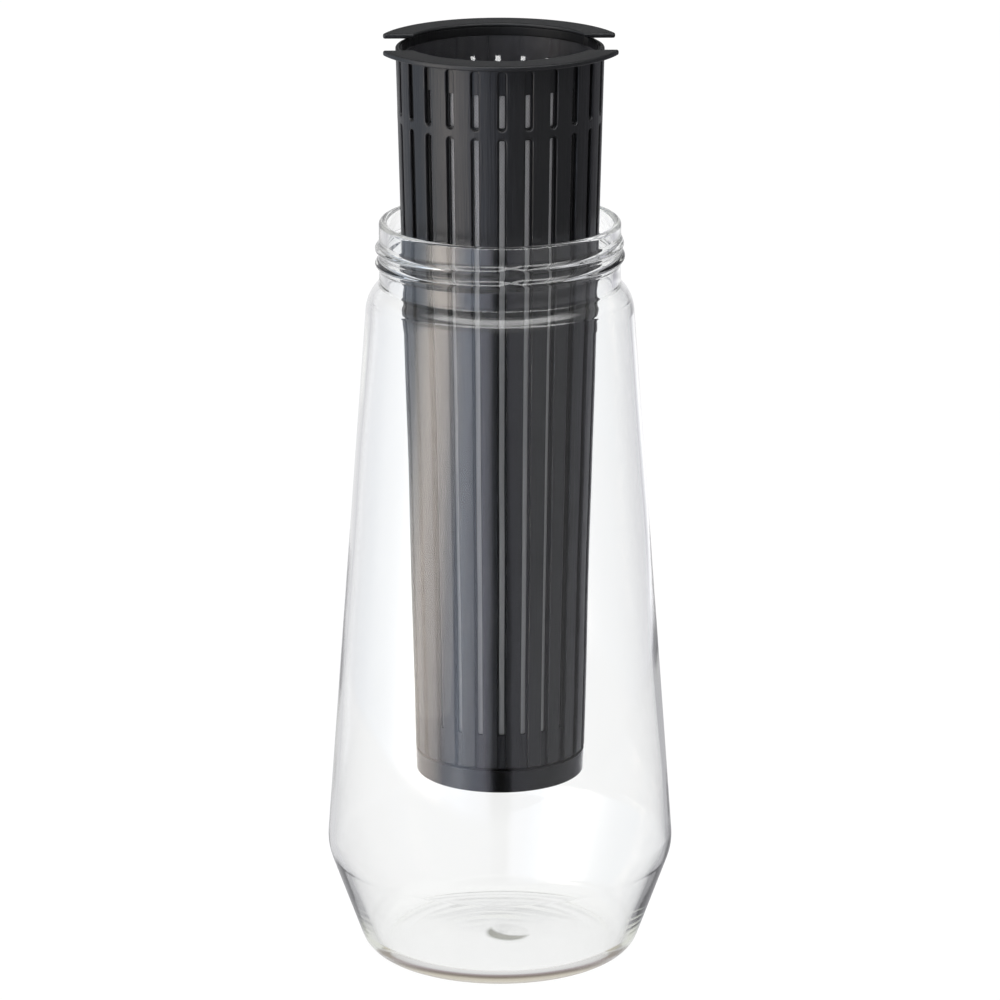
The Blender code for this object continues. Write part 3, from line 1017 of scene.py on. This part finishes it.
def scar_shade_and_haze_mask(nodes):
    """How much the floor's colour is darkened: painted shade, most on a crescent at the left front
    of its mark, and a streaky haze a little inside it.
    """
    parts = nodes.parts(nodes.place())
    flat = nodes.flat(parts)
    centres = (MARK_CENTRE, MARK_CENTRE + SCAR_SHIFT)
    away = [nodes.distance(flat, (*centre, 0.0)) for centre in centres]
    inside = nodes.math(
        "MULTIPLY_ADD", away[0], -1.0 / SCAR_SOFT, MARK_RADIUS / SCAR_SOFT, clamp=True)
    outside = nodes.math(
        "MULTIPLY_ADD", away[1], 1.0 / SCAR_SOFT, -MARK_RADIUS / SCAR_SOFT, clamp=True)
    off_floor = nodes.math("ABSOLUTE", nodes.math("SUBTRACT", parts["Z"], FLOOR_THICKNESS))
    on_floor = nodes.math("LESS_THAN", off_floor, FLOOR_THICKNESS / 2.0)
    streaks = nodes.noise(SCAR_STREAKS, stretch=SCAR_STRETCH)
    haze = nodes.math("MULTIPLY", streaks, 2.0 * SCAR_HAZE)
    crescent_shade_and_haze = nodes.math("MAXIMUM", outside, haze)
    return nodes.math("MULTIPLY", nodes.math("MULTIPLY", inside, crescent_shade_and_haze), on_floor)


def glass_material():
    """Clear glass, faintly green where it is thick, with painted shade on a crescent of its floor
    mark. Lamps shine through it.
    """
    material = bpy.data.materials.new("clear_glass")
    nodes = Nodes(material)
    waves = nodes.noise(GLASS_WAVES, stretch=GLASS_WAVE_STRETCH, detail=1.0)
    normal = nodes.bump(waves, GLASS_WAVE_STRENGTH, GLASS_WAVE_HEIGHT)
    # painted shade: the glass colour darkens on the floor mark's crescent
    color = nodes.color_mix(scar_shade_and_haze_mask(nodes), GLASS_COLOR, SCAR_SHADE_AND_HAZE_TINT)
    glass = nodes.add(
        "ShaderNodeBsdfPrincipled", Base_Color=color, Roughness=0.0, IOR=GLASS_IOR,
        Transmission_Weight=1.0, Normal=normal).outputs[0]
    clear = nodes.add("ShaderNodeBsdfTransparent", Color=GLASS_IN_LAMPLIGHT).outputs[0]
    path = nodes.add("ShaderNodeLightPath").outputs
    lamps = nodes.math("MAXIMUM", path["Is Shadow Ray"], path["Is Diffuse Ray"])
    tint = nodes.add("ShaderNodeVolumeAbsorption", Color=GLASS_TINT, Density=GLASS_TINT_DENSITY)
    surface = nodes.mix(lamps, glass, clear)
    nodes.add("ShaderNodeOutputMaterial", Surface=surface, Volume=tint.outputs[0])
    return material


def plastic_material(name, roughness, gloss_level, grain, streaks):
    """Black moulded plastic: faint upright drag lines, a fine grain and an uneven gloss."""
    material = bpy.data.materials.new(name)
    nodes = Nodes(material)
    lines = nodes.noise(DRAG_LINES, stretch=DRAG_STRETCH, detail=3.0, roughness=DRAG_ROUGHNESS)
    specks = nodes.noise(GRAIN)
    patches = nodes.noise(PATCHES, detail=3.0)
    shown = nodes.shades(lines, *PLASTIC_COLORS)
    uneven = nodes.math("MULTIPLY_ADD", patches, PATCH_GLOSS, roughness - PATCH_GLOSS / 2.0)
    gloss = nodes.math(
        "MULTIPLY_ADD", lines, DRAG_GLOSS, nodes.math("SUBTRACT", uneven, DRAG_GLOSS / 2.0))
    up = nodes.parts(nodes.place("Normal"))["Z"]
    gloss = nodes.math("ADD", gloss, nodes.math("MULTIPLY", up, TOP_DULLNESS, clamp=True))
    height = nodes.math("MULTIPLY_ADD", specks, grain, nodes.math("MULTIPLY", lines, streaks))
    surface = nodes.add(
        "ShaderNodeBsdfPrincipled", Base_Color=shown, Roughness=gloss, IOR=PLASTIC_IOR,
        Specular_IOR_Level=gloss_level, Specular_Tint=PLASTIC_SHEEN,
        Normal=nodes.bump(height, 1.0, GRAIN_HEIGHT)).outputs[0]
    nodes.finish(surface)
    return material


def mesh_material():
    """Fine woven mesh: grey threads, painted near black on the inner face as shade, and gaps between
    them that let part of the light through.
    """
    material = bpy.data.materials.new("woven_mesh")
    nodes = Nodes(material)
    parts = nodes.parts(nodes.place())
    angle = nodes.math("ARCTAN2", parts["Y"], parts["X"])
    middle_radius = frame_radius((SLEEVE_LOW.z + SLEEVE_HIGH.z) / 2.0) - FRAME_WALL
    around = 2.0 * math.pi * middle_radius / THREAD_SPACING
    threads = []
    for turned, upright in ((math.cos(WEAVE_SLANT), math.sin(WEAVE_SLANT)),
                            (-math.sin(WEAVE_SLANT), math.cos(WEAVE_SLANT))):
        rise = nodes.math("MULTIPLY", parts["Z"], upright * math.pi / THREAD_SPACING)
        phase = nodes.math("MULTIPLY_ADD", angle, round(around * turned) / 2.0, rise)
        threads.append(nodes.math("ABSOLUTE", nodes.math("SINE", phase)))
    nearest = nodes.math("MAXIMUM", *threads)
    on_thread = nodes.math("MULTIPLY_ADD", nearest, THREAD_EDGE, MESH_COVER, clamp=True)
    covered = nodes.math("MULTIPLY_ADD", on_thread, GAP_OPENNESS, 1.0 - GAP_OPENNESS)
    streaks = nodes.noise(MESH_STREAKS, stretch=MESH_STRETCH)
    outside = nodes.shades(streaks, *MESH_OUTSIDE)
    # painted shade: the inner face takes the near black shades
    inside = nodes.shades(streaks, *MESH_INSIDE_PAINTED_SHADE)
    middle = frame_radius(0.0) - FRAME_WALL - SLEEVE_GAP - SLEEVE_THICKNESS / 2.0
    wall_middle = nodes.math("MULTIPLY_ADD", parts["Z"], TAPER, middle)
    is_outside = nodes.math("GREATER_THAN", nodes.distance(nodes.flat(parts)), wall_middle)
    color = nodes.color_mix(is_outside, inside, outside)
    cloth = nodes.add(
        "ShaderNodeBsdfPrincipled", Base_Color=color, Roughness=MESH_ROUGHNESS,
        Specular_IOR_Level=1.0, Normal=nodes.bump(nearest, MESH_RELIEF, THREAD_HEIGHT)).outputs[0]
    gaps = nodes.add("ShaderNodeBsdfTransparent").outputs[0]
    nodes.finish(nodes.mix(covered, gaps, cloth))
    return material


def ray_kinds(nodes):
    """What kind of ray asks for a colour, each 0 or 1.

    straight: it comes straight to the camera, also through glass. mirrored: it was mirrored on
    the way. inner: it was mirrored and has also been through glass. deep: it was mirrored behind
    the front wall of the glass, as at the strainer. sieved: it passed gaps.
    """
    path = nodes.add("ShaderNodeLightPath").outputs
    scattered = nodes.math("MAXIMUM", path["Is Diffuse Ray"], path["Diffuse Depth"], clamp=True)
    passed = nodes.math("MAXIMUM", path["Is Camera Ray"], path["Is Transmission Ray"])
    turned = nodes.math("MINIMUM", path["Glossy Depth"], 1.0)
    unscattered = nodes.math("SUBTRACT", 1.0, scattered)
    unturned = nodes.math("SUBTRACT", 1.0, turned)
    straight = nodes.math("MULTIPLY", nodes.math("MULTIPLY", passed, unturned), unscattered)
    mirrored = nodes.math("MULTIPLY", turned, unscattered)
    inner = nodes.math("MINIMUM", path["Transmission Depth"], 1.0)
    off_four = nodes.math("ABSOLUTE", nodes.math("SUBTRACT", path["Transmission Depth"], 4.0))
    deep = nodes.math("SUBTRACT", 1.0, off_four, clamp=True)
    sieved = nodes.math("MINIMUM", path["Transparent Depth"], 1.0)
    return straight, mirrored, inner, deep, sieved


def floor_material():
    """Pale floor: white where it is seen, also through glass, with the object's faint shadow.

    Gloss mirrors it only near the object, as a glow painted lighter to the left, with painted shade
    under the heel, and further out the studio's walls.
    """
    material = bpy.data.materials.new("pale_floor")
    nodes = Nodes(material)
    straight, mirrored, _, deep, sieved = ray_kinds(nodes)
    glare = nodes.math("MULTIPLY_ADD", sieved, GLARE, FLOOR_GLOW)
    lit = nodes.add("ShaderNodeBsdfDiffuse", Color=FLOOR_LIT).outputs[0]
    white = nodes.glow("Emission", glare)
    seen = nodes.add("ShaderNodeAddShader", in_0=lit, in_1=white).outputs[0]
    plain = nodes.add("ShaderNodeBsdfDiffuse", Color=FLOOR_PLAIN).outputs[0]
    place = nodes.place()
    share = nodes.math("MULTIPLY_ADD", nodes.parts(place)["X"], 1.0 / FLOOR_SPREAD, 0.5)
    # painted light: the floor glows where gloss mirrors it, lighter to the left and darker to the
    # right
    painted_floor_glow = nodes.glow(
        "Emission", 1.0, nodes.ramp(share, [(0.0, FLOOR_PAINTED_LIGHT_LEFT), (1.0, FLOOR_PAINTED_SHADE_RIGHT)]))
    far = nodes.add("ShaderNodeBsdfTransparent").outputs[0]
    away = nodes.distance(place)
    reach = nodes.math("MULTIPLY", away, 1.0 / UNDER_REACH)
    # painted glow and painted shade: the floor under the heel, with a dark ring where the heel
    # stands
    rings = nodes.ramp(reach, [(out / UNDER_REACH, color) for out, color in UNDER_GLASS_GLOW_AND_SHADE])
    heel_glow_and_painted_shade = nodes.glow("Emission", 1.0, rings)
    edge = nodes.math("MULTIPLY_ADD", away, 1.0 / UNDER_FADE, -UNDER_REACH / UNDER_FADE, clamp=True)
    past = nodes.math("MULTIPLY_ADD", deep, FLOOR_NEAR - DEEP_FLOOR_NEAR, away)
    fade = nodes.math("MULTIPLY_ADD", past, 1.0 / FLOOR_FADE, -FLOOR_NEAR / FLOOR_FADE, clamp=True)
    in_gloss = nodes.mix(fade, nodes.mix(edge, heel_glow_and_painted_shade, painted_floor_glow), far)
    nodes.finish(nodes.mix(straight, nodes.mix(mirrored, plain, in_gloss), seen))
    return material


def make_world():
    """White behind the object, also through glass; the studio's walls where gloss mirrors them."""
    world = bpy.data.worlds.new("studio")
    world.cycles.sampling_method = "NONE"
    bpy.context.scene.world = world
    nodes = Nodes(world)
    straight, mirrored, inner, _, sieved = ray_kinds(nodes)
    glare = nodes.math("MULTIPLY_ADD", sieved, GLARE, 1.0)
    white = nodes.glow("Background", glare)
    around = nodes.glow("Background", SOFT_LIGHT)
    parts = nodes.parts(nodes.place("Generated"))
    to_front = nodes.math("MULTIPLY", parts["Y"], -1.0)
    turn = nodes.math("ARCTAN2", parts["X"], to_front)
    around_share = nodes.math("MULTIPLY_ADD", turn, 1.0 / (2.0 * math.pi), 0.5)
    stops = []
    for degrees, color in WALLS:
        stops.append((degrees / 360.0 + 0.5, tuple(part / WALL_PEAK for part in color)))
    walls = nodes.ramp(around_share, stops)
    on_right = nodes.math("MULTIPLY", parts["X"], SIDE_RISE, clamp=True)
    on_table = nodes.math("MULTIPLY_ADD", parts["Z"], TABLE_RISE, TABLE_LEVEL, clamp=True)
    table = nodes.math("MULTIPLY", nodes.math("MULTIPLY", on_right, on_table), inner)
    strength = nodes.math("MULTIPLY_ADD", table, TABLE_BOOST * WALL_PEAK, WALL_PEAK)
    low_walls = nodes.glow("Background", strength, walls)
    heights = nodes.ramp(parts["Z"], [(low, (share, share, share)) for low, share in CEILING])
    strip = nodes.glow("Background", WALL_PEAK, heights)
    dim = nodes.glow("Background", BACK_CEILING)
    haze = nodes.glow("Background", INNER_CEILING)
    in_front = nodes.math("MULTIPLY", to_front, SIDE_RISE, clamp=True)
    ceiling = nodes.mix(inner, nodes.mix(in_front, dim, strip), haze)
    lowered = nodes.math("MULTIPLY_ADD", in_front, -FRONT_WALL_RISE, parts["Z"])
    rise = nodes.math("MULTIPLY_ADD", lowered, 1.0 / WALL_FADE, -WALL_TOP / WALL_FADE, clamp=True)
    studio = nodes.mix(rise, low_walls, ceiling)
    nodes.finish(nodes.mix(straight, nodes.mix(mirrored, around, studio), white),
                 "ShaderNodeOutputWorld")


def upright_place(angle_from, angle_to, distance, low, high):
    """Place, turn and size of an upright panel that spans two angles and two heights."""
    middle = (angle_from + angle_to) / 2.0
    out = Vector((math.sin(middle), -math.cos(middle), 0.0))
    width = 2.0 * distance * math.tan(abs(angle_to - angle_from) / 2.0)
    place = out * distance + Vector((0.0, 0.0, (low + high) / 2.0))
    return place, out.to_track_quat("Z", "Y"), width, high - low


def soft_light(name, degrees, heights, radiance, color):
    """An upright soft panel, which neither the camera nor gloss sees."""
    angles = [math.radians(value) for value in degrees]
    place, turn, width, height = upright_place(*angles, LIGHT_DISTANCE, *heights)
    lamp = bpy.data.lights.new(name, "AREA")
    lamp.shape = "RECTANGLE"
    lamp.size = width
    lamp.size_y = height
    lamp.energy = WATTS_PER_RADIANCE * width * height * radiance
    lamp.color = color
    obj = bpy.data.objects.new(name, lamp)
    obj.location = place
    obj.rotation_mode = "QUATERNION"
    obj.rotation_quaternion = turn
    obj.visible_camera = False
    obj.visible_glossy = False
    bpy.context.scene.collection.objects.link(obj)
    return obj


def make_floor():
    """The floor, just under the glass."""
    body = bmesh.new()
    bmesh.ops.create_grid(body, x_segments=1, y_segments=1, size=FLOOR_SIZE / 2.0)
    mesh = bpy.data.meshes.new("floor")
    body.to_mesh(mesh)
    body.free()
    obj = bpy.data.objects.new("floor", mesh)
    obj.location.z = -FLOOR_DROP
    mesh.materials.append(floor_material())
    bpy.context.scene.collection.objects.link(obj)


def make_lights():
    """Soft lamps for what gloss doesn't mirror: a warm one from the left and a weak one above."""
    soft_light(
        "left_warm", degrees=(-75, -35), heights=(0.0, 0.42), radiance=0.8, color=(1.0, 0.95, 0.9))
    top = soft_light("top", degrees=(-30, 30), heights=(0.0, 0.6), radiance=0.5, color=WHITE[:3])
    top.location = (0.0, 0.0, TOP_LAMP_HEIGHT)
    top.rotation_quaternion = (1.0, 0.0, 0.0, 0.0)


def make_camera():
    """The photograph's view: a long lens from a little above and to the left."""
    data = bpy.data.cameras.new("camera")
    data.lens = LENS
    data.sensor_width = SENSOR
    data.clip_start = CLIP_START
    data.clip_end = CLIP_END
    camera = bpy.data.objects.new("camera", data)
    back = Vector((
        math.sin(CAMERA_TURN) * math.cos(CAMERA_PITCH),
        -math.cos(CAMERA_TURN) * math.cos(CAMERA_PITCH),
        math.sin(CAMERA_PITCH),
    ))
    camera.location = LOOK_AT + back * CAMERA_DISTANCE
    camera.rotation_mode = "QUATERNION"
    camera.rotation_quaternion = (-back).to_track_quat("-Z", "Y")
    bpy.context.scene.collection.objects.link(camera)
    bpy.context.scene.camera = camera


def main():
    """Dress the frame, light it and frame it."""
    make_camera()
    glass_carafe(glass_material())
    strainer_frame(plastic_material("black_satin_plastic", *SATIN))
    filter_mesh(mesh_material())
    strainer_cup(plastic_material("black_smooth_plastic", *SMOOTH))
    make_floor()
    make_lights()
    make_world()
    scene = bpy.context.scene
    scene.view_settings.view_transform = "Standard"
    scene.cycles.max_bounces = BOUNCES
    scene.cycles.glossy_bounces = BOUNCES
    scene.cycles.transmission_bounces = BOUNCES
    scene.cycles.transparent_max_bounces = BOUNCES


main()
